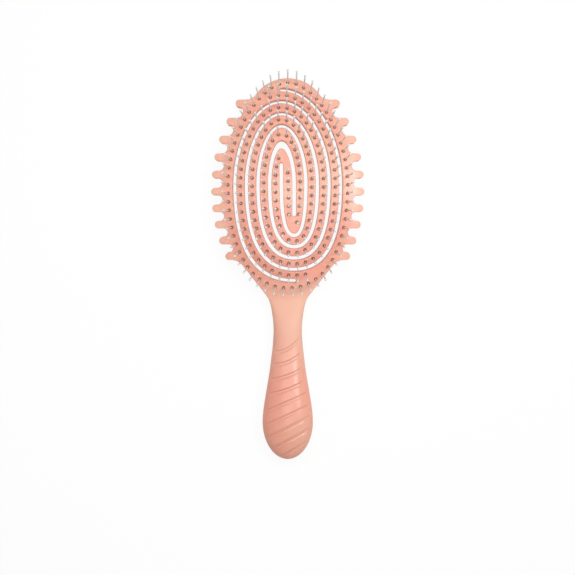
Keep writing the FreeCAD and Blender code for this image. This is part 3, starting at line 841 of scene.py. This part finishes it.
def plastic():
    """Peach plastic with clouds and cream patches, painted shade in the hollows, a painted highlight on the
    edges, painted warm light on the fingers and neck, painted shade over the neck and handle, and a fine
    grain.
    """
    material, tree, shader = node_tree("peach_plastic")
    where = tree.nodes.new("ShaderNodeTexCoord").outputs["Object"]
    pointiness = tree.nodes.new("ShaderNodeNewGeometry").outputs["Pointiness"]
    outward = distance_from_head(tree, where)
    clouds = noise(tree, *CLOUDS, where).outputs["Fac"]
    pink, cream, painted_warm_light = (ramp(tree, clouds, stops).outputs["Color"] for stops in (PINK, CREAM, PAINTED_WARM_LIGHT))
    patches = noise(tree, *PATCHES, where).outputs["Fac"]
    colour = mix(tree, grey_ramp(tree, patches, PATCH_SHARE).outputs["Color"], pink, cream)
    # Painted shade darkens the hollows and a painted highlight lightens the rounded edges.
    edges = ramp(tree, pointiness, PAINTED_HOLLOW_SHADE_AND_EDGE_HIGHLIGHT).outputs["Color"]
    colour = mix(tree, grey_ramp(tree, pointiness, PAINTED_HOLLOW_SHADE_AND_EDGE_HIGHLIGHT_SHARE).outputs["Color"], colour, edges)
    # Painted warm light: a lighter, yellower tint by the distance from the head's middle.
    colour = mix(tree, grey_ramp(tree, outward, PAINTED_WARM_LIGHT_SHARE).outputs["Color"], colour, painted_warm_light)
    # Painted shade: the colour darkened over the neck and the handle.
    painted_shade_product = tree.nodes.new("ShaderNodeVectorMath")
    painted_shade_product.operation = "MULTIPLY"
    tree.links.new(colour, painted_shade_product.inputs[0])
    tree.links.new(ramp(tree, outward, NECK_AND_HANDLE_PAINTED_SHADE).outputs["Color"], painted_shade_product.inputs[1])
    tree.links.new(painted_shade_product.outputs["Vector"], shader.inputs["Base Color"])
    matt = tree.nodes.new("ShaderNodeMath")
    matt.operation = "MULTIPLY_ADD"
    tree.links.new(grey_ramp(tree, outward, MATT_SHARE).outputs["Color"], matt.inputs[0])
    matt.inputs[1].default_value = MATT_ROUGHNESS
    tree.links.new(between(tree, noise(tree, *SMUDGES, where), PLASTIC_ROUGHNESS), matt.inputs[2])
    tree.links.new(matt.outputs["Value"], shader.inputs["Roughness"])
    bump = tree.nodes.new("ShaderNodeBump")
    bump.inputs["Strength"].default_value = GRAIN_STRENGTH
    bump.inputs["Distance"].default_value = GRAIN_HEIGHT
    tree.links.new(noise(tree, *GRAIN, where).outputs["Fac"], bump.inputs["Height"])
    tree.links.new(bump.outputs["Normal"], shader.inputs["Normal"])
    for name, value in PLASTIC.items():
        shader.inputs[name].default_value = value
    return material


def nylon():
    """Greyish white nylon that lets a little light in."""
    material, tree, shader = node_tree("nylon_pins")
    where = tree.nodes.new("ShaderNodeTexCoord").outputs["Object"]
    tone = grey_ramp(tree, noise(tree, *NYLON_TONES, where).outputs["Fac"], NYLON_TONE)
    tree.links.new(tone.outputs["Color"], shader.inputs["Base Color"])
    roughness = between(tree, noise(tree, *NYLON_STREAKS, where), NYLON_ROUGHNESS)
    tree.links.new(roughness, shader.inputs["Roughness"])
    for name, value in NYLON.items():
        shader.inputs[name].default_value = value
    return material


def paper():
    """White floor: bright where it is seen, and plain paper to the light, with a share of the shadow."""
    material, tree, shader = node_tree("paper")
    where = tree.nodes.new("ShaderNodeTexCoord").outputs["Object"]
    tone = grey_ramp(tree, noise(tree, *PAPER_TONES, where).outputs["Fac"], PAPER_TONE)
    tree.links.new(tone.outputs["Color"], shader.inputs["Base Color"])
    shader.inputs["Roughness"].default_value = PAPER_ROUGHNESS
    glow = tree.nodes.new("ShaderNodeEmission")
    glow.inputs["Strength"].default_value = SEEN_STRENGTH
    share = tree.nodes.new("ShaderNodeMath")
    share.operation = "MULTIPLY"
    tree.links.new(background_rays(tree), share.inputs[0])
    share.inputs[1].default_value = SEEN_SHARE
    either = tree.nodes.new("ShaderNodeMixShader")
    tree.links.new(share.outputs["Value"], either.inputs["Fac"])
    tree.links.new(shader.outputs["BSDF"], either.inputs[1])
    tree.links.new(glow.outputs["Emission"], either.inputs[2])
    tree.links.new(either.outputs["Shader"], tree.nodes["Material Output"].inputs["Surface"])
    return material


def studio():
    """White surroundings: soft light on the brush, full white where they are seen."""
    world = bpy.data.worlds.new("studio")
    world.use_nodes = True
    tree = world.node_tree
    sky = tree.nodes["Background"]
    seen = tree.nodes.new("ShaderNodeBackground")
    for light, strength in ((sky, SKY_STRENGTH), (seen, SEEN_STRENGTH)):
        light.inputs["Color"].default_value = WHITE
        light.inputs["Strength"].default_value = strength
    either = tree.nodes.new("ShaderNodeMixShader")
    tree.links.new(background_rays(tree), either.inputs["Fac"])
    tree.links.new(sky.outputs["Background"], either.inputs[1])
    tree.links.new(seen.outputs["Background"], either.inputs[2])
    tree.links.new(either.outputs["Shader"], tree.nodes["World Output"].inputs["Surface"])
    return world


def lamp(name, at, target, width, depth, power):
    """Area lamp that is turned to a target and that the camera doesn't see."""
    data = bpy.data.lights.new(name, "AREA")
    data.shape = "RECTANGLE"
    data.size = width
    data.size_y = depth
    data.energy = power
    made = bpy.data.objects.new(name, data)
    scene.collection.objects.link(made)
    made.location = at
    made.visible_camera = False
    made.rotation_euler = (Vector(target) - Vector(at)).to_track_quat("-Z", "Y").to_euler()


# The brush.
peach = plastic()
white = nylon()
all_pins = [at for info in head_pieces.values() for at in info["pins"]]
plate_pieces("front", FRONT_LAYER, EDGE_ROUND, RADIUS, all_pins, peach)
plate_pieces("back", BACK_LAYER, BACK_ROUND, RADIUS - FRONT_LAYER, [], peach)
pin_pieces(white)
handle_piece("handle_front", True, FRONT_STEPS, "front_shell", peach)
handle_piece("handle_back", False, BACK_STEPS, "back_shell", peach)

# Floor, surroundings, lamps and camera.
floor_mesh = bpy.data.meshes.new("floor")
floor_mesh.from_pydata([(-FLOOR_HALF, -FLOOR_HALF, 0), (FLOOR_HALF, -FLOOR_HALF, 0),
                        (FLOOR_HALF, FLOOR_HALF, 0), (-FLOOR_HALF, FLOOR_HALF, 0)], [], [(0, 1, 2, 3)])
floor = new_object("floor", floor_mesh, paper())
floor.location.z = -FLOOR_DROP
scene.world = studio()
for name, settings in LAMPS.items():
    lamp(name, *settings)

camera_data = bpy.data.cameras.new("camera")
camera_data.sensor_width = SENSOR_WIDTH
camera_data.lens = LENS
camera_data.clip_start = CLIP_START
camera = bpy.data.objects.new("camera", camera_data)
scene.collection.objects.link(camera)
camera.location = (CAMERA_ACROSS, (HEAD_Y - CAMERA_REACH) * MM, CAMERA_HEIGHT)
camera.rotation_euler = (0, 0, 0)
scene.camera = camera

scene.view_settings.view_transform = "Standard"
